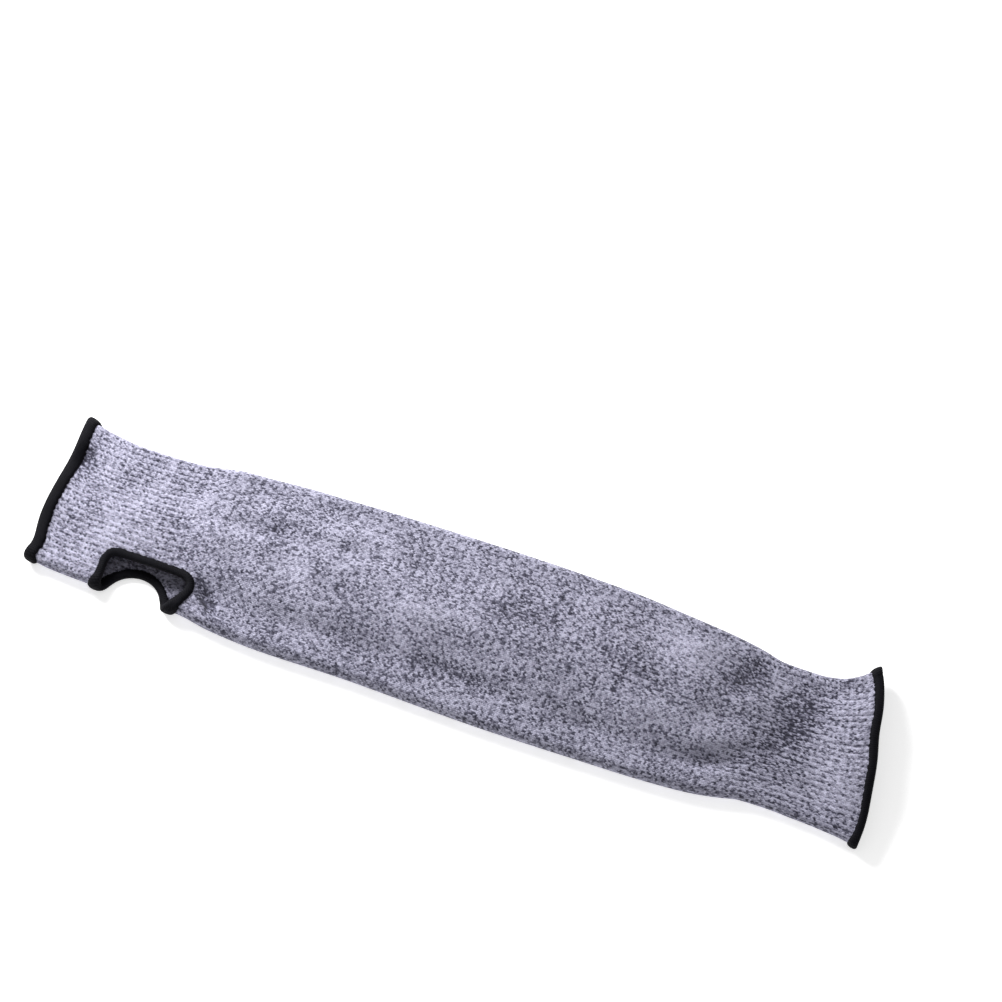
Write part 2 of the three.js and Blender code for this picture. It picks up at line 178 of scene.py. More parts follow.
# Soft valleys in the top layer, with these columns: the station, the place across from the near
# fold (-1) to the far one (1), the length and width as shares of the body's width, the depth as a
# share of the body's crown (a swell where it is negative), and the turn from the axis in degrees
DENTS = (
    (on_hand_cuff(0.07), 0.52, 0.10, 0.090, 0.14, 75),
    (on_body(0.105), -0.86, 0.10, 0.045, 0.30, -37),
    (on_body(0.260), 0.38, 0.75, 0.060, 0.26, 4.4),
    (on_body(0.290), -0.70, 0.70, 0.065, 0.22, 0),
    (on_body(0.720), -0.74, 0.75, 0.070, 0.34, -1),
    (on_body(0.940), -0.78, 0.17, 0.055, 0.30, 8),
    (on_body(0.960), -0.06, 0.25, 0.060, 0.24, 17),
    (on_body(1.000), -0.50, 0.12, 0.060, 0.20, 36),
    (on_upper_cuff(0.18), 0.72, 0.26, 0.100, 0.22, -16),
    (on_upper_cuff(0.78), 0.60, 0.14, 0.120, -0.24, 60),
)

# Sharper folds and swells of the soft cloth, in the same columns but for the depth, which is a
# length: the crease beside the thumb hole, pulls at the cuffs and soft hollows over the body
CREASES = (
    (on_body(0.098), -0.84, 0.130, 0.034, 3.4 * MM, -50),
    (on_body(0.058), -0.86, 0.080, 0.036, -1.3 * MM, -50),
    (on_hand_cuff(0.09), 0.52, 0.085, 0.045, 2.2 * MM, 86),
    (on_hand_cuff(0.55), -0.55, 0.300, 0.110, -0.9 * MM, 60),
    (on_hand_cuff(0.93), 0.10, 0.120, 0.060, 0.8 * MM, -20),
    (on_body(0.030), 0.55, 0.110, 0.070, -0.7 * MM, 30),
    (on_body(0.890), 0.66, 0.110, 0.080, -1.7 * MM, 62),
    (on_body(0.985), 0.64, 0.160, 0.070, 2.0 * MM, 62),
    (on_upper_cuff(0.40), 0.26, 0.260, 0.095, 1.5 * MM, 66),
    (on_upper_cuff(0.98), 0.24, 0.420, 0.130, -2.2 * MM, 84),
    (on_upper_cuff(0.80), -0.62, 0.200, 0.110, -0.6 * MM, 80),
    (on_body(0.968), -0.70, 0.150, 0.044, 0.6 * MM, 4),
    (on_upper_cuff(0.06), -0.52, 0.080, 0.034, 0.5 * MM, 62),
    (on_body(0.955), -0.44, 0.120, 0.050, -1.0 * MM, 10),
    (on_body(0.990), -0.82, 0.080, 0.040, -0.9 * MM, 14),
    (on_body(0.800), 0.10, 0.200, 0.080, 0.7 * MM, -14),
    (on_body(0.620), 0.30, 0.240, 0.090, 0.8 * MM, -9),
    (on_body(0.450), -0.10, 0.200, 0.080, -0.6 * MM, 12),
    (on_body(0.530), -0.62, 0.260, 0.050, 0.8 * MM, -4),
    (on_body(0.160), 0.44, 0.150, 0.060, 0.8 * MM, 14),
    (on_body(0.240), -0.16, 0.160, 0.080, -0.6 * MM, -20),
    (on_body(0.860), -0.30, 0.180, 0.060, -0.8 * MM, 6),
)

# Uneven reach of the mouths' edges, with these columns: the place across from the near fold (-1) to
# the far one (1), the width as a share of the half width, and the reach as a share of the width
HAND_MOUTH_WAVES = (
    (-0.80, 0.22, -0.020),
    (0.30, 0.40, -0.016),
    (-1.00, 0.12, 0.016),
    (1.00, 0.30, 0.012),
)
UPPER_MOUTH_WAVES = (
    (-0.80, 0.35, 0.017),
    (0.20, 0.22, -0.013),
    (1.00, 0.12, -0.008),
)


def mix(a, b, share):
    """Straight mix of two values: a at share 0 and b at share 1."""
    return a + (b - a) * share


def ease(value, low, high):
    """Smooth step from 0 at low to 1 at high: 3s^2 - 2s^3 of the share s of the way."""
    share = np.clip((value - low) / (high - low), 0, 1)
    return share * share * (3 - 2 * share)


def section_column(name, station):
    """One column of SECTIONS at an array of stations.

    Between two rows it is a cubic with the rows' values and, at each row, a slope that is the
    harmonic mean of the slopes beside it, or zero at a peak. Past the ends the slope runs on."""
    table = np.array(SECTIONS)
    at = table[:, 0]
    value = table[:, SECTION_COLUMNS.index(name)]
    span = np.diff(at)
    rise = np.diff(value) / span
    product = rise[:-1] * rise[1:]
    total = np.where(product > 0, rise[:-1] + rise[1:], 1)
    inside = np.where(product > 0, 2 * product / total, 0)
    slope = np.concatenate([rise[:1], inside, rise[-1:]])
    station = np.asarray(station, float)
    i = np.clip(np.searchsorted(at, station, side="right") - 1, 0, len(span) - 1)
    t = (station - at[i]) / span[i]
    curve = mix(value[i], value[i + 1], t * t * (3 - 2 * t))
    curve += span[i] * slope[i] * t * (1 - t) ** 2 + span[i] * slope[i + 1] * t * t * (t - 1)
    curve = np.where(t < 0, value[0] + slope[0] * (station - at[0]), curve)
    return np.where(t > 1, value[-1] + slope[-1] * (station - at[-1]), curve)


def wave_at(waves, aside):
    """Sum of the waves at a place across: each its reach times exp(-u^2), u in its own width."""
    total = 0
    for across, width, reach in waves:
        total = total + reach * np.exp(-(((aside - across) / width) ** 2))
    return total


class Section:
    """Fold radius, crown, reach, middle and floor of the fabric's middle at an array of stations.

    Reach is the distance from the middle to a fold's centre: half the width less the radius."""

    def __init__(self, station):
        full = section_column("full", station)
        self.station = np.asarray(station, float)
        self.radius = mix(CUFF_FOLD_RADIUS, BODY_FOLD_RADIUS, full)
        self.crown = mix(CUFF_CROWN, BODY_CROWN, full)
        self.reach = (section_column("width", station) - FABRIC_THICKNESS) / 2 - self.radius
        self.middle = section_column("shift", station) * BODY_WIDTH
        held = section_column("held", station)
        self.floor = FABRIC_THICKNESS / 2 + held * (BINDING_GAP + BINDING_DEPTH)


def valley(section, across, at, place_across, length, width, turn):
    """Bell exp(-u^2 - v^2) on the top layer: u runs along it and v across it, each counted in its
    own length or width."""
    along_axis = section.station - at
    aside = (across - place_across) * section.reach
    c, s = math.cos(math.radians(turn)), math.sin(math.radians(turn))
    u = (along_axis * c + aside * s) / (length * BODY_WIDTH)
    v = (aside * c - along_axis * s) / (width * BODY_WIDTH)
    return np.exp(-u * u - v * v)


def dome_height(section, across):
    """Height of the top layer over the folds: crown (1 - a^2)^2 less the dents.

    Each dent is its depth times a bell, and dents and the cloth's slow waves fade at the folds by
    (1 - a^6)^2. The creases reach further out."""
    depth = -cloth_waves(section.station, across)
    for at, place_across, length, width, share, turn in DENTS:
        bell = valley(section, across, at, place_across, length, width, turn)
        depth = depth + share * BODY_CROWN * bell
    sunk = depth * (1 - across**DENT_FADE_POWER) ** 2 + crease_depth(section, across)
    return section.crown * (1 - across**2) ** 2 - sunk


def crease_depth(section, across):
    """How far the creases sink the top layer: each its depth times a bell, and all of them faded
    by (1 - a^16)^2."""
    sharp = 0
    for at, place_across, length, width, low, turn in CREASES:
        bell = valley(section, across, at, place_across, length, width, turn)
        sharp = sharp + low * bell
    return sharp * (1 - across**CREASE_FADE_POWER) ** 2


def cloth_waves(station, across):
    """Slow uneven waves of the cloth: a sum of seeded sines of the station and the place across,
    18 to 60 mm long, each with a height that is the same small share of its length."""
    seed, count = 21, 14
    shortest, longest = 18, 60
    height_share = 0.0042
    random = np.random.default_rng(seed)
    height = 0
    for _ in range(count):
        wave_length = random.uniform(shortest, longest) * MM
        heading = random.uniform(0, math.pi)
        phase = random.uniform(0, 2 * math.pi)
        travel = station * math.cos(heading) + across * BODY_WIDTH / 2 * math.sin(heading)
        wave = np.sin(2 * math.pi * travel / wave_length + phase)
        height = height + height_share * wave_length * wave
    return height


def shell_point(station, turn, offset):
    """Places on the sleeve: a station along it, a turn round it and an offset outwards from the
    middle of the fabric.

    The turn runs 0 to 1 up the near fold, a half circle, 1 to 2 over the domed top layer, 2 to 3
    down the far fold and 3 to 4 back along the flat lower layer. The lean, bow and waves of the
    mouths and the curl of the flared corner are added, and they fade out along the cuffs."""
    given = (np.asarray(values, float) for values in (station, turn, offset))
    station, turn, offset = np.broadcast_arrays(*given)
    section = Section(station)
    lap = np.mod(turn, 4)
    stretch = np.minimum(np.floor(lap), 3).astype(int)
    share = lap - stretch
    angle = math.pi * share
    across = 2 * share - 1
    step = 0.01
    rise = dome_height(section, across + step) - dome_height(section, across - step)
    slope = rise / (2 * step * section.reach)
    size = np.hypot(1, slope)
    zero = np.zeros_like(lap)
    normal_y = np.choose(stretch, [-np.sin(angle), -slope / size, np.sin(angle), zero])
    normal_z = np.choose(stretch, [-np.cos(angle), 1 / size, np.cos(angle), zero - 1])
    fold_middle = section.floor + section.radius
    y = np.choose(stretch, [
        -section.reach + section.radius * normal_y,
        across * section.reach,
        section.reach + section.radius * normal_y,
        -across * section.reach,
    ])
    z = np.choose(stretch, [
        fold_middle + section.radius * normal_z,
        fold_middle + section.radius + dome_height(section, across),
        fold_middle + section.radius * normal_z,
        section.floor,
    ])
    aside = np.clip(y / (section.reach + section.radius), -1, 1)
    near_hand = 1 - ease(station, 0, HAND_CUFF_LENGTH)
    near_arm = ease(station, SLEEVE_LENGTH - UPPER_CUFF_LENGTH, SLEEVE_LENGTH)
    hand_wave = HAND_MOUTH_WIDTH * wave_at(HAND_MOUTH_WAVES, aside)
    arm_wave = UPPER_MOUTH_WIDTH * wave_at(UPPER_MOUTH_WAVES, aside)
    hand_shift = HAND_MOUTH_LEAN * aside / 2 - HAND_MOUTH_BOW * (1 - aside**2) - hand_wave
    arm_shift = UPPER_MOUTH_BOW * (1 - aside**2) - UPPER_MOUTH_LEAN * aside / 2 + arm_wave
    curl = UPPER_CORNER_CURL * (near_arm * (1 + aside) / 2) ** 2
    x = station - SLEEVE_LENGTH / 2 + near_hand * hand_shift + near_arm * arm_shift
    y = section.middle + y + offset * normal_y
    return np.stack([x, y, z + offset * normal_z + curl], axis=-1)


def turn_at_arc(station, arc):
    """Turn of the place that lies an arc length over (+) or under (-) the near fold's middle."""
    section = Section(station)
    quarter = math.pi * section.radius / 2
    beyond = (np.abs(arc) - quarter) / (2 * section.reach)
    on_fold = NEAR_FOLD_TURN + arc / (2 * quarter)
    past_fold = np.where(arc > 0, 1 + beyond, -beyond)
    return np.where(np.abs(arc) <= quarter, on_fold, past_fold)


def half_girth(station):
    """Distance round the tube from the near fold's middle to the far one's."""
    section = Section(station)
    return math.pi * section.radius + 2 * section.reach


def turn_at_share(station, share):
    """Turn of a wale that lies at a share of the girth from the near fold's middle, over the top.

    The share runs 0 to 1 once round. The arc is the share of the whole girth, and past the far
    fold's middle the same rule runs backwards."""
    half = half_girth(station)
    arc = np.where(share <= 0.5, share, 1 - share) * 2 * half
    quarter = math.pi * Section(station).radius / 2
    from_far = half - arc
    on_far_fold = from_far < quarter
    bend = from_far / (2 * quarter)
    over = np.where(on_far_fold, FAR_FOLD_TURN - bend, turn_at_arc(station, arc))
    under_near = np.mod(turn_at_arc(station, -arc), 4)
    under = np.where(on_far_fold, FAR_FOLD_TURN + bend, under_near)
    return np.where(share <= 0.5, over, under)


def arc_at_share(station, share):
    """Arc length from the near fold's middle of a wale, over the top (+) or under it (-)."""
    signed = np.where(share <= 0.5, share, share - 1)
    return signed * 2 * half_girth(station)


def superellipse(angle, power):
    """Distance from the middle to the edge |cos|^p + |sin|^p = 1, at an angle."""
    return (np.abs(np.cos(angle)) ** power + np.abs(np.sin(angle)) ** power) ** (-1 / power)


def thumb_hole_edge(count):
    """Edge of the thumb hole as arrays of stations and arc lengths, once round from its arm end.

    It is a superellipse |cos|^p + |sin|^p = 1, with p = 7 over the fold, a box with round
    corners, and p = 2 under it, a plain arch. Middle and length pass smoothly from one to the
    other round the fold, where the points lie closer."""
    crowding = 0.25
    box_power, arch_power = 7.0, 2.0
    even = 2 * math.pi * np.arange(count) / count
    angle = even - crowding * np.sin(2 * even)
    over = even <= math.pi
    size = superellipse(angle, np.where(over, box_power, arch_power))
    arc = size * np.sin(angle) * np.where(over, THUMB_HOLE_TOP["reach"], THUMB_HOLE_LOWER["reach"])
    full_box = 0.8 * THUMB_HOLE_TOP["reach"]
    changed_length = ease(arc, -THUMB_HOLE_LOWER["reach"] / 2, full_box)
    moved_middle = ease(arc, -THUMB_HOLE_LOWER["reach"] / 6, full_box)
    length = mix(THUMB_HOLE_LOWER["length"], THUMB_HOLE_TOP["length"], changed_length)
    middle = mix(THUMB_HOLE_LOWER["middle"], THUMB_HOLE_TOP["middle"], moved_middle)
    return middle + size * np.cos(angle) * length / 2, arc


def ripple(phase, seed, count, first):
    """Smooth random curve of a phase that runs 0 to 1 and closes on itself, about -1 to 1.

    It is a sum of so many whole-numbered waves from the first one on, with seeded phases, the
    finer ones the smaller."""
    random = np.random.default_rng(seed)
    total = 0
    for wave in range(first, first + count):
        angle = 2 * math.pi * (wave * phase + random.random())
        total = total + np.sin(angle) / math.sqrt(wave - first + 1)
    return total / math.sqrt(count)


def add_mesh(name, points, quads, uv=None, attributes=None):
    """New smooth mesh object from points (n, 3) and quads (m, 4), with an optional UV map given
    per face corner (4m, 2) and optional named values per point."""
    mesh = bpy.data.meshes.new(name)
    mesh.vertices.add(len(points))
    mesh.vertices.foreach_set("co", points.astype(np.float32).ravel())
    mesh.loops.add(quads.size)
    mesh.loops.foreach_set("vertex_index", quads.astype(np.int32).ravel())
    mesh.polygons.add(len(quads))
    mesh.polygons.foreach_set("loop_start", np.arange(0, quads.size, 4, dtype=np.int32))
    mesh.update(calc_edges=True)
    mesh.polygons.foreach_set("use_smooth", np.ones(len(quads), bool))
    if uv is not None:
        mesh.uv_layers.new(name="knit").data.foreach_set("uv", uv.astype(np.float32).ravel())
    for key, values in (attributes or {}).items():
        layer = mesh.attributes.new(key, "FLOAT", "POINT")
        layer.data.foreach_set("value", values.astype(np.float32).ravel())
    mesh.validate()
    piece = bpy.data.objects.new(name, mesh)
    bpy.context.scene.collection.objects.link(piece)
    return piece


def along(start, end, step):
    """Evenly spaced values from start up to, but without, end, about a step apart."""
    count = max(1, round((end - start) / step))
    return mix(start, end, np.arange(count) / count)


def how_ribbed(station):
    """1 on the ribbed cuffs, 0 on the plain body, with a short soft change between them."""
    change = 9 * MM
    past_hand_cuff, before_upper_cuff = 2 * MM, 4 * MM
    body_start = HAND_CUFF_LENGTH + past_hand_cuff
    body_end = SLEEVE_LENGTH - UPPER_CUFF_LENGTH - before_upper_cuff
    plain = ease(station, body_start, body_start + change)
    ribbed_again = ease(station, body_end, body_end + change)
    return 1 - plain * (1 - ribbed_again)


def inside_thumb_hole(station, arc):
    """Whether places lie in the thumb hole: an odd number of the edge's sides cross the ray from
    the place towards the upper arm."""
    sides = 96
    edge_station, edge_arc = thumb_hole_edge(sides)
    next_station, next_arc = np.roll(edge_station, -1), np.roll(edge_arc, -1)
    flat_station, flat_arc = station.reshape(-1, 1), arc.reshape(-1, 1)
    spans = (edge_arc > flat_arc) != (next_arc > flat_arc)
    rise = np.where(next_arc == edge_arc, 1, next_arc - edge_arc)
    crossing = edge_station + (flat_arc - edge_arc) * (next_station - edge_station) / rise
    return (np.sum(spans & (crossing > flat_station), axis=1) % 2 == 1).reshape(station.shape)


def painted_crease_shade(station, share):
    """Painted shade and light of the creases, from a little below 0 on their swells, painted
    lighter,
    to 1 in their valleys, painted darker: the depth of the creases over a full depth, on the top
    layer alone."""
    full_depth = 1.5 * MM
    brightest_swell = -0.4
    turn = turn_at_share(station, share)
    across = np.clip(2 * (turn - 1) - 1, -1, 1)
    return np.clip(crease_depth(Section(station), across) / full_depth, brightest_swell, 1)


def knit_surface(station, share, side, place):
    """Points of one face of the fabric, side +1 outer or -1 inner.

    Their offset from the fabric's middle is half the thickness, less the room for the ribs, plus
    on the cuffs the ribs themselves, a cosine of the share of the girth."""
    ribbed = how_ribbed(station)
    rib = np.cos(2 * math.pi * RIBS * share)
    offset = side * (FABRIC_THICKNESS / 2 - RIB_ROOM) + ribbed * RIB_RELIEF * rib
    turn = turn_at_share(station, share)
    return shell_point(station, turn, offset) + place


def make_knit_tube(place):
    """The knitted tube with its thumb hole: outer and inner faces on one grid of stations and
    wales, joined round the mouths and the hole. The squares inside the hole's edge are left out."""
    cuff_step, hole_step, crease_step, body_step = 3 * MM, 1.5 * MM, 2 * MM, 4.8 * MM
    round_hole, creased, before_upper_cuff = 2 * MM, 24 * MM, 12 * MM
    hole_start = THUMB_HOLE_TOP["middle"] - THUMB_HOLE_TOP["length"] / 2 - round_hole
    hole_end = THUMB_HOLE_TOP["middle"] + THUMB_HOLE_TOP["length"] / 2 + round_hole
    crease_end = hole_end + creased
    body_end = SLEEVE_LENGTH - UPPER_CUFF_LENGTH - before_upper_cuff
    stations = np.concatenate([
        along(0, hole_start, cuff_step),
        along(hole_start, hole_end, hole_step),
        along(hole_end, crease_end, crease_step),
        along(crease_end, body_end, body_step),
        along(body_end, SLEEVE_LENGTH, cuff_step),
        [SLEEVE_LENGTH],
    ])
    columns = RIBS * COLUMNS_PER_RIB
    shares = np.arange(columns) / columns
    station, share = np.meshgrid(stations, shares, indexing="ij")
    outer = knit_surface(station, share, 1, place)
    inner = knit_surface(station, share, -1, place)
    points = np.concatenate([outer.reshape(-1, 3), inner.reshape(-1, 3)])

    rows = len(stations) - 1
    number = np.arange(station.size).reshape(station.shape)
    beside = np.roll(number, -1, axis=1)
    i, j = np.meshgrid(np.arange(rows), np.arange(columns), indexing="ij")
    middle_station = (stations[i] + stations[i + 1]) / 2
    middle_share = (j + 0.5) / columns
    middle_arc = arc_at_share(middle_station, middle_share)
    kept = ~inside_thumb_hole(middle_station, middle_arc)

    a, b = number[:-1], number[1:]
    c, d = beside[1:], beside[:-1]
    faces = np.stack([a, b, c, d], axis=-1)[kept]
    inner_start = station.size
    turned = np.stack([a, d, c, b], axis=-1)[kept] + inner_start

    def rim(first, second, chosen):
        """Squares that join the outer face's edge, first to second, to the inner face's."""
        p, q = first[chosen], second[chosen]
        return np.stack([q, p, p + inner_start, q + inner_start], axis=-1)

    closed = np.zeros((1, columns), bool)
    before = np.concatenate([closed, kept[:-1]])
    after = np.concatenate([kept[1:], closed])
    under = np.roll(kept, 1, axis=1)
    over = np.roll(kept, -1, axis=1)
    rims = [
        rim(d, a, kept & ~before),
        rim(b, c, kept & ~after),
        rim(a, b, kept & ~under),
        rim(c, d, kept & ~over),
    ]
    quads = np.concatenate([faces, turned, *rims])

    point_course = np.tile(station.ravel() / COURSE_PITCH, 2)
    point_wale = np.tile(share.ravel() * WALES, 2)
    corner_wale = point_wale[quads]
    over_seam = (corner_wale.max(axis=1) - corner_wale.min(axis=1)) > WALES / 2
    started_again = over_seam[:, None] & (corner_wale < WALES / 2)
    corner_wale = np.where(started_again, corner_wale + WALES, corner_wale)
    uv = np.stack([corner_wale, point_course[quads]], axis=-1)

    used, compact = np.unique(quads, return_inverse=True)
    quads = compact.reshape(quads.shape)
    face = np.repeat([0.0, 1.0], station.size)
    attributes = {
        "ribbed": np.tile(how_ribbed(station).ravel(), 2)[used],
        # Painted shade and light of the creases, at each point
        "crease_shade": np.tile(painted_crease_shade(station, share).ravel(), 2)[used],
        "inner_face": face[used],
    }
    return add_mesh("knit_sleeve", points[used], quads, uv.reshape(-1, 2), attributes)


def overlock_profile(count):
    """Round section of an overlocked edge as two arrays of shares, outwards and off the fabric.

    It is a superellipse of power 2.6, both -1 to 1, once round."""
    angle = 2 * math.pi * np.arange(count) / count
    size = superellipse(angle, power=2.6)
    return size * np.cos(angle), size * np.sin(angle)


def mouth_flare(phase):
    """Extra share of width where a mouth's binding turns over the folds: bells of the phase, at 0
    and at one half."""
    from_fold = np.abs(np.mod(phase + 0.25, 0.5) - 0.25)
    return MOUTH_FLARE * np.exp(-((from_fold / MOUTH_FLARE_SPREAD) ** 2))


def thumb_path():
    """Stations and arc lengths of the thumb hole's edge, and the share of the way round it at each
    point and, last, at the first point again."""
    station, arc = thumb_hole_edge(THUMB_PATH_POINTS)
    step = np.hypot(np.roll(station, -1) - station, np.roll(arc, -1) - arc)
    travelled = np.concatenate([[0], np.cumsum(step)]) / step.sum()
    return station, arc, travelled


def thumb_flare(phase):
    """Extra share of width where the thumb hole's binding turns over the fold: a bell of the arc
    that reaches further under the fold on the hand side, and further over it on the other."""
    station, arc, travelled = thumb_path()
    here = np.interp(phase, travelled, np.append(arc, arc[0]))
    at = np.interp(phase, travelled, np.append(station, station[0]))
    middle = THUMB_HOLE_LOWER["middle"]
    side_change, over_change = 5 * MM, 3 * MM
    hand_side = 1 - ease(at, middle - side_change, middle + side_change)
    over = ease(here, -over_change, over_change)
    far_reaching = hand_side * (1 - over) + (1 - hand_side) * over
    spread = mix(THUMB_FLARE_LEAST_SPREAD, THUMB_FLARE_GREATEST_SPREAD, far_reaching)
    return THUMB_FLARE * np.exp(-((here / spread) ** 2))


def make_binding(name, edge, width, length, seed, place, flare):
    """Overlocked edge: a round section swept along the fabric's edge and closed on itself.

    The wraps are counted from the length. The skin carries one rounded ridge for each, |sin| of
    the wraps, slanted a little. Its width and depth change slowly along it, its inner edge is
    ragged with fine waves and loose loops, and it is wider and thicker where it flares. Edge
    gives, for a phase 0 to 1 and a distance outwards, the station and the turn."""
    slow_change, fine_change, loop_change = 0.05, 0.10, 0.13
    wrap_slant, ridge, ridge_mean, lift_share = 0.25, 0.09, 0.6, 0.4
    wraps = round(length / WRAP_PITCH)
    rings = wraps * RINGS_PER_WRAP
    phase = (np.arange(rings) / rings)[:, None]
    outwards, off = overlock_profile(RING_POINTS)
    outwards, off = outwards[None, :], off[None, :]
    slow = 1 + slow_change * ripple(phase, seed, count=9, first=2)
    inland = ease(-outwards, low=0.2, high=0.9)
    loose = np.random.default_rng(seed + 2).uniform(-1, 1, wraps)
    loops = np.interp(phase * wraps, np.arange(wraps) + 0.5, loose)
    fine = ripple(phase, seed + 1, count=40, first=25)
    ragged = 1 + inland * (fine_change * fine + loop_change * loops)
    slant = wrap_slant * outwards * np.sign(off)
    strand = np.abs(np.sin(math.pi * (wraps * phase + slant)))
    skin = 1 + ridge * (strand - ridge_mean)
    out = BINDING_GAP + BINDING_ROLL
    back = out - width * (1 + flare(phase))
    reach = mix(back, out, (1 + outwards * ragged * skin) / 2) * slow
    depth = FABRIC_THICKNESS / 2 + BINDING_GAP + BINDING_DEPTH
    lift = depth * off * skin * slow * (1 + lift_share * flare(phase))
    station, turn = edge(phase, reach)
    points = shell_point(station, turn, lift) + place
    points[..., 2] = np.maximum(points[..., 2], 0)
    return sweep_mesh(name, points, length)


def sweep_mesh(name, points, length):
    """Closed mesh of rings (n, m, 3), each joined to the next and the last to the first.

    The UV map gives the millimetres of the length along the rings and 0 to 12 round each."""
    round_section = 12.0
    rings, size = points.shape[:2]
    number = np.arange(rings * size).reshape(rings, size)
    ahead = np.roll(number, -1, axis=0)
    beside, ahead_beside = np.roll(number, -1, axis=1), np.roll(ahead, -1, axis=1)
    quads = np.stack([number, ahead, ahead_beside, beside], axis=-1)
    i, j = np.meshgrid(np.arange(rings), np.arange(size), indexing="ij")
    corner_i = np.stack([i, i + 1, i + 1, i], axis=-1) * (length / MM / rings)
    corner_j = np.stack([j, j, j + 1, j + 1], axis=-1) * (round_section / size)
    uv = np.stack([corner_i, corner_j], axis=-1).reshape(-1, 2)
    return add_mesh(name, points.reshape(-1, 3), quads.reshape(-1, 4), uv)


def hand_edge(phase, outwards):
    """Hand mouth: once round from the near fold's middle, over the top."""
    station = -outwards + 0 * phase
    return station, turn_at_share(0 * station, phase + 0 * station)


def arm_edge(phase, outwards):
    """Upper-arm mouth: once round the other way, so that the section keeps its outward side."""
    station = SLEEVE_LENGTH + outwards + 0 * phase
    return station, turn_at_share(SLEEVE_LENGTH + 0 * station, np.mod(1 - phase, 1) + 0 * station)


def thumb_edge(phase, outwards):
    """Thumb hole: outwards points into the hole, square to its edge."""
    station, arc, travelled = thumb_path()
    run = np.roll(station, -1) - np.roll(station, 1)
    rise = np.roll(arc, -1) - np.roll(arc, 1)
    size = np.hypot(run, rise)
    closed = [np.append(v, v[0]) for v in (station, arc, rise / size, run / size)]
    on_edge, arc_on_edge, share_rise, share_run = (np.interp(phase, travelled, v) for v in closed)
    at = on_edge - outwards * share_rise
    return at, turn_at_arc(at, arc_on_edge + outwards * share_run)


def face_outwards(piece):
    """Turns the faces outwards if the signed volume, sum of a . (b x c) / 6, is negative, and
    prints the count of triangles and that volume."""
    mesh = piece.data
    mesh.calc_loop_triangles()
    corners = np.empty(len(mesh.loop_triangles) * 3, np.int32)
    mesh.loop_triangles.foreach_get("vertices", corners)
    points = np.empty(len(mesh.vertices) * 3, np.float32)
    mesh.vertices.foreach_get("co", points)
    a, b, c = np.moveaxis(points.reshape(-1, 3)[corners.reshape(-1, 3)].astype(float), 1, 0)
    volume = np.sum(a * np.cross(b, c)) / 6
    print(piece.name, "faces", len(mesh.loop_triangles), "volume", volume)
    if volume < 0:
        mesh.flip_normals()


class Nodes:
    """Node tree of a new material, with short calls that add a node and return its output."""

    def __init__(self, name):
        self.material = bpy.data.materials.new(name)
        self.material.use_nodes = True
        self.tree = self.material.node_tree
        self.shader = self.tree.nodes["Principled BSDF"]

    def add(self, kind, inputs=(), **settings):
        """New node of a kind, with its inputs by name or number and its settings by name."""
        node = self.tree.nodes.new(kind)
        for key, value in settings.items():
            setattr(node, key, value)
        for key, value in dict(inputs).items():
            self.put(value, node.inputs[key])
        return node

    def put(self, value, socket):
        """Links an output to the socket, or sets the socket to a plain value."""
        if isinstance(value, bpy.types.NodeSocket):
            self.tree.links.new(value, socket)
        else:
            socket.default_value = value

    def calc(self, operation, *values):
        """Result of one operation on one to three values."""
        return self.add("ShaderNodeMath", enumerate(values), operation=operation).outputs[0]

    def blend(self, share, a, b):
        """Colour between two: a at share 0 and b at share 1."""
        node = self.add("ShaderNodeMix", data_type="RGBA")
        self.put(share, node.inputs[0])
        self.put(a, node.inputs[6])
        self.put(b, node.inputs[7])
        return node.outputs[2]

    def ramp(self, value, stops):
        """Colour of a value, between the colours of the stops on both sides of it."""
        node = self.add("ShaderNodeValToRGB", {0: value})
        elements = node.color_ramp.elements
        while len(elements) < len(stops):
            elements.new(1)
        for element, (position, colour) in zip(elements, stops):
            element.position = position
            element.color = (*colour, 1)
        return node.outputs[0]

    def spread(self, value, low, high, to_low, to_high):
        """Straight line from to_low at low to to_high at high, level past both."""
        inputs = {0: value, 1: low, 2: high, 3: to_low, 4: to_high}
        return self.add("ShaderNodeMapRange", inputs, clamp=True).outputs[0]

    def sway(self, base, value, weight, middle=0.5):
        """The base plus the weight times the value's distance from its middle."""
        return self.calc("MULTIPLY_ADD", self.calc("SUBTRACT", value, middle), weight, base)

    def scaled_pair(self, x, x_scale, y, y_scale):
        """Place in a plane: x and y, each times its scale."""
        inputs = {0: self.calc("MULTIPLY", x, x_scale), 1: self.calc("MULTIPLY", y, y_scale)}
        return self.add("ShaderNodeCombineXYZ", inputs).outputs[0]

    def noise(self, place, scale, detail, **more):
        """Smooth noise at a place, about one half on average."""
        inputs = {"Vector": place, "Scale": scale, "Detail": detail, **more}
        return self.add("ShaderNodeTexNoise", inputs).outputs["Fac"]

    def attribute(self, name):
        """Named value that the mesh carries at each point."""
        return self.add("ShaderNodeAttribute", attribute_name=name).outputs["Fac"]

    def surface(self, inputs):
        """Sets or links the shader's inputs by name."""
        for key, value in inputs.items():
            self.put(value, self.shader.inputs[key])


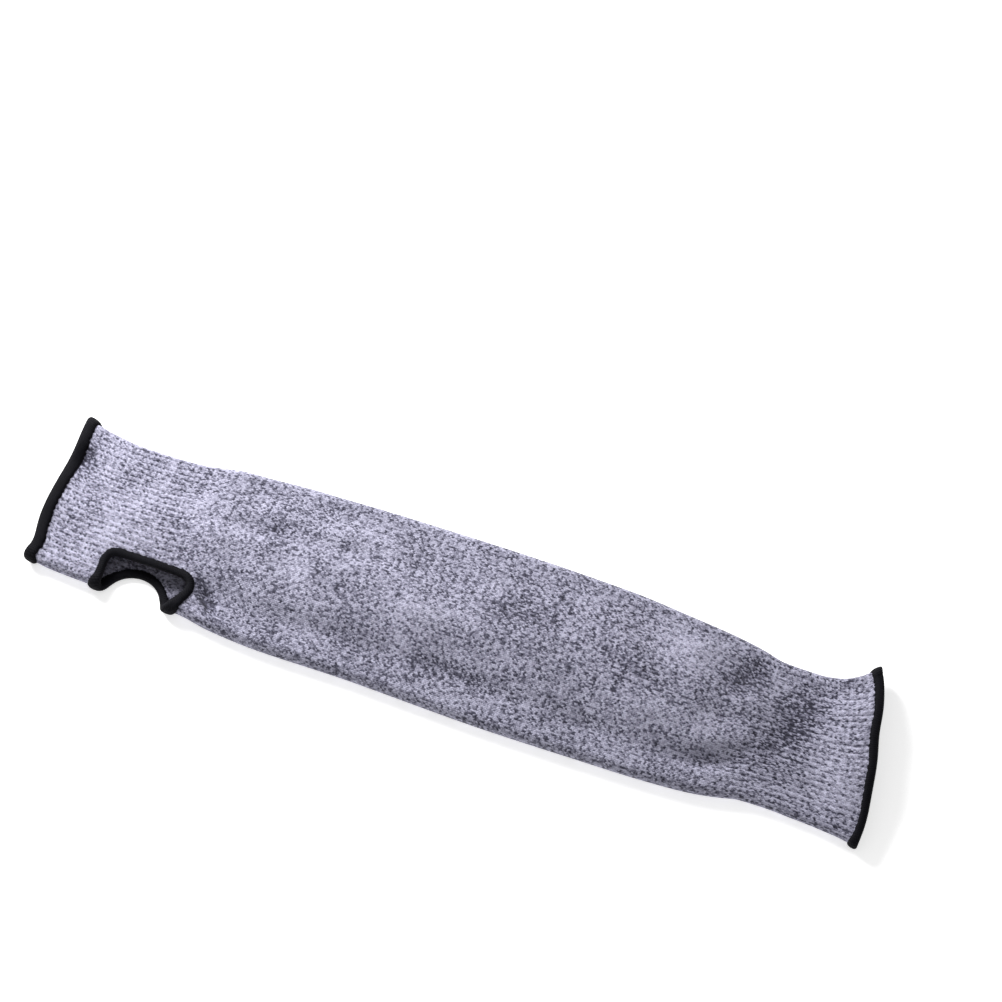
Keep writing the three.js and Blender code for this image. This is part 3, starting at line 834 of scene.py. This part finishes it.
def marl_knit_material():
    """Salt and pepper marl knit. Each wale is a column of V stitches, two slanted legs to a stitch.

    Every leg has a random tone, from nearly black to pale lavender, and softer noise gathers
    the tones into clusters. They stand out more towards the upper arm. On the cuffs the grooves
    between the ribs carry painted shade, most of all at every second course, and the gaps between
    the stitches' legs carry painted shade as well. Faint streaks run across. The creases carry
    painted shade in their valleys and painted light on their swells. The inner face is a little
    darker, partly from its darker yarn and partly as painted shade for the shadowed inside."""
    leg_lean, stitch_roundness = 0.6, 0.6
    courses = SLEEVE_LENGTH / COURSE_PITCH
    n = Nodes("marl_knit")
    place = n.add("ShaderNodeUVMap", uv_map="knit").outputs[0]
    axes = n.add("ShaderNodeSeparateXYZ", {0: place})
    wale, course = axes.outputs[0], axes.outputs[1]
    ribbed = n.attribute("ribbed")
    solid = n.add("ShaderNodeTexCoord").outputs["Object"]

    inside = n.calc("FRACT", wale)
    from_middle = n.calc("ABSOLUTE", n.calc("MULTIPLY_ADD", inside, 2.0, -1.0))
    leaning = n.calc("MULTIPLY_ADD", from_middle, leg_lean, course)
    leg = n.calc("MULTIPLY", wale, 2.0)
    along_leg = n.calc("SINE", n.calc("MULTIPLY", n.calc("FRACT", leaning), math.pi))
    across_leg = n.calc("SINE", n.calc("MULTIPLY", n.calc("FRACT", leg), math.pi))
    stitch = n.calc("POWER", n.calc("MULTIPLY", along_leg, across_leg), stitch_roundness)

    cell_inputs = {0: n.calc("FLOOR", leg), 1: n.calc("FLOOR", leaning)}
    cell = n.add("ShaderNodeCombineXYZ", cell_inputs).outputs[0]
    white_noise = n.add("ShaderNodeTexWhiteNoise", {"Vector": cell}, noise_dimensions="2D")
    own_tone = white_noise.outputs["Value"]
    drift = n.scaled_pair(x=wale, x_scale=0.8, y=course, y_scale=0.5)
    clusters = n.noise(drift, scale=1.0, detail=3.0, Roughness=0.65)
    plies = n.noise(solid, scale=1900.0, detail=1.0)
    speck = n.calc("MULTIPLY_ADD", clusters, TONE_OF_CLUSTERS, BASE_TONE)
    speck = n.calc("MULTIPLY_ADD", own_tone, TONE_OF_LEG, speck)
    speck = n.sway(speck, plies, TONE_OF_PLIES)
    contrast = n.spread(course, 0.0, courses, to_low=HAND_CONTRAST, to_high=ARM_CONTRAST)
    speck = n.sway(MEAN_TONE, speck, contrast, MEAN_TONE)

    # Painted shade in the grooves between the cuffs' ribs, deepest at every second course
    rib_wave = n.calc("COSINE", n.calc("MULTIPLY", wale, math.pi))
    groove_shade = n.spread(rib_wave, low=-1.0, high=-0.1, to_low=1.0, to_high=0.0)
    beat = n.calc("COSINE", n.calc("MULTIPLY", course, math.pi))
    every_second = n.spread(beat, low=-1.0, high=1.0, to_low=0.35, to_high=1.0)
    groove_shade_dots = n.calc("MULTIPLY", groove_shade, every_second)
    speck = n.calc("MULTIPLY_ADD", n.calc("MULTIPLY", groove_shade_dots, ribbed), TONE_OF_GROOVE_SHADE, speck)
    speck = n.calc("MULTIPLY_ADD", ribbed, TONE_OF_RIBBED, speck)

    streak = n.scaled_pair(x=wale, x_scale=0.06, y=course, y_scale=0.34)
    bands = n.noise(streak, scale=1.0, detail=1.5)
    speck = n.sway(speck, bands, TONE_OF_STREAKS)
    # Painted shade in the creases' valleys and painted light on their swells
    speck = n.calc("MULTIPLY_ADD", n.attribute("crease_shade"), TONE_OF_CREASE_SHADE, speck)
    mottle = n.noise(solid, scale=60.0, detail=3.0, Roughness=0.6)
    speck = n.sway(speck, mottle, TONE_OF_MOTTLE)

    colour = n.ramp(speck, [
        (0.12, (0.018, 0.017, 0.030)),
        (0.34, (0.075, 0.073, 0.108)),
        (0.52, (0.250, 0.245, 0.325)),
        (0.70, (0.400, 0.392, 0.505)),
        (1.00, (0.560, 0.550, 0.690)),
    ])
    gap_shade_colour, inner_yarn_and_shade_colour = (0.03, 0.03, 0.045, 1), (0.03, 0.026, 0.026, 1)
    inner_share = 0.12
    # Painted shade in the gaps between the stitches' legs: darker where the stitch is low
    shade = n.spread(stitch, low=0.0, high=0.5, to_low=0.62, to_high=1.0)
    colour = n.blend(shade, gap_shade_colour, colour)
    # Inner face a little darker: partly its darker yarn and partly painted shade for the shadowed
    # inside
    inner_face = n.calc("MULTIPLY", n.attribute("inner_face"), inner_share)
    colour = n.blend(inner_face, colour, inner_yarn_and_shade_colour)

    fuzz_height = 0.35
    fuzz = n.noise(solid, scale=2600.0, detail=2.0)
    height = n.calc("MULTIPLY_ADD", fuzz, fuzz_height, stitch)
    bump = n.add("ShaderNodeBump", {"Height": height, "Strength": 0.55, "Distance": 0.35 * MM})
    n.surface({
        "Base Color": colour,
        "Normal": bump.outputs[0],
        "Roughness": 0.92,
        "Specular IOR Level": 0.2,
        "Sheen Weight": 0.12,
        "Sheen Roughness": 0.5,
    })
    return n.material


def black_overlock_material():
    """Black overlock yarn: nearly black, matt, with fine slanted plies as bump and dusty fluff."""
    fluff_tone, plies_tone, plies_height = 0.7, 0.3, 0.6
    n = Nodes("black_overlock")
    place = n.add("ShaderNodeUVMap", uv_map="knit").outputs[0]
    solid = n.add("ShaderNodeTexCoord").outputs["Object"]
    wave_inputs = {"Vector": place, "Scale": 0.55, "Distortion": 1.6, "Detail": 2.0}
    wave = n.add("ShaderNodeTexWave", wave_inputs, wave_type="BANDS", bands_direction="DIAGONAL")
    plies = wave.outputs["Fac"]
    fluff = n.noise(solid, scale=900.0, detail=3.0)
    tone = n.calc("MULTIPLY_ADD", fluff, fluff_tone, n.calc("MULTIPLY", plies, plies_tone))
    colour = n.ramp(tone, [
        (0.30, (0.0012, 0.0011, 0.0022)),
        (0.80, (0.0060, 0.0058, 0.0095)),
    ])
    height = n.calc("MULTIPLY_ADD", plies, plies_height, fluff)
    bump = n.add("ShaderNodeBump", {"Height": height, "Strength": 0.5, "Distance": 0.2 * MM})
    n.surface({
        "Base Color": colour,
        "Normal": bump.outputs[0],
        "Roughness": 0.75,
        "Specular IOR Level": 0.1,
        "Sheen Weight": 0.01,
        "Sheen Roughness": 0.4,
    })
    return n.material


def finish_piece(piece, material, node):
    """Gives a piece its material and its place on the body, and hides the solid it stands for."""
    face_outwards(piece)
    piece.data.materials.append(material)
    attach(piece, "root")
    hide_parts(node)


def place_in_frame():
    """Shift from this script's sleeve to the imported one: the middles of the two fabrics' boxes."""
    count = 240
    stations, shares = np.linspace(0, SLEEVE_LENGTH, count), np.arange(count) / count
    station, share = np.meshgrid(stations, shares, indexing="ij")
    turn = turn_at_share(station, share)
    fabric = shell_point(station, turn, FABRIC_THICKNESS / 2).reshape(-1, 3)
    low, high = (np.array(corner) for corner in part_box("knit_tube"))
    shift = (low + high) / 2 - (fabric.min(axis=0) + fabric.max(axis=0)) / 2
    shift[2] = low[2] - fabric[:, 2].min()
    return shift


def add_looking(name, data, eye, aim):
    """New object of a camera or lamp that stands at the eye and looks at the aim."""
    piece = bpy.data.objects.new(name, data)
    bpy.context.scene.collection.objects.link(piece)
    eye, aim = Vector(eye), Vector(aim)
    piece.matrix_world = Matrix.LocRotScale(eye, (aim - eye).to_track_quat("-Z", "Y"), None)
    return piece


def make_camera():
    """Camera at the photograph's angle: 65 degrees above the floor, turned 20 degrees."""
    data = bpy.data.cameras.new("camera")
    data.lens = 94.85
    data.sensor_width = 36
    data.clip_start = 0.01
    eye, aim = (0.19912, -0.48736, 1.2865), (-0.00483, 0.07682, 0)
    bpy.context.scene.camera = add_looking("camera", data, eye, aim)


def add_area_light(name, eye, aim, size, power):
    """White square lamp."""
    data = bpy.data.lights.new(name, "AREA")
    data.size = size
    data.energy = power
    add_looking(name, data, eye, aim)


def make_studio():
    """White floor that glows a little, and soft white light: an even sky and one large lamp over
    the hand end."""
    half = 5.0
    corners = [(-half, -half, 0), (half, -half, 0), (half, half, 0), (-half, half, 0)]
    floor = add_mesh("studio_floor", np.array(corners, float), np.array([[0, 1, 2, 3]]))
    n = Nodes("white_floor")
    n.surface({
        "Base Color": (0.93, 0.93, 0.93, 1),
        "Roughness": 0.9,
        "Specular IOR Level": 0.0,
        "Emission Color": (1, 1, 1, 1),
        "Emission Strength": 0.58,
    })
    floor.data.materials.append(n.material)

    world = bpy.data.worlds.new("studio_sky")
    world.use_nodes = True
    sky = world.node_tree.nodes["Background"]
    sky.inputs["Color"].default_value = (1, 1, 1, 1)
    sky.inputs["Strength"].default_value = 0.36
    bpy.context.scene.world = world
    add_area_light("key_lamp", eye=(-0.72, 0.46, 0.54), aim=(0, 0, 0), size=0.45, power=19.5)
    bpy.context.scene.view_settings.view_transform = "Standard"


place = place_in_frame()
marl_knit = marl_knit_material()
black_overlock = black_overlock_material()

knit_sleeve = make_knit_tube(place)
finish_piece(knit_sleeve, marl_knit, "knit_tube")

hand_mouth_path = 2 * float(half_girth(0))
arm_mouth_path = 2 * float(half_girth(SLEEVE_LENGTH))
hand_overlock = make_binding("hand_end_overlock", hand_edge, HAND_BINDING_WIDTH,
                             hand_mouth_path, seed=3, place=place, flare=mouth_flare)
arm_overlock = make_binding("upper_arm_overlock", arm_edge, UPPER_BINDING_WIDTH,
                            arm_mouth_path, seed=5, place=place, flare=mouth_flare)
thumb_overlock = make_binding("thumb_hole_overlock", thumb_edge, THUMB_BINDING_WIDTH,
                              THUMB_WRAPPED_LENGTH, seed=7, place=place, flare=thumb_flare)
finish_piece(hand_overlock, black_overlock, "hand_end_binding")
finish_piece(arm_overlock, black_overlock, "upper_arm_binding")
finish_piece(thumb_overlock, black_overlock, "thumb_hole_binding")

make_camera()
make_studio()
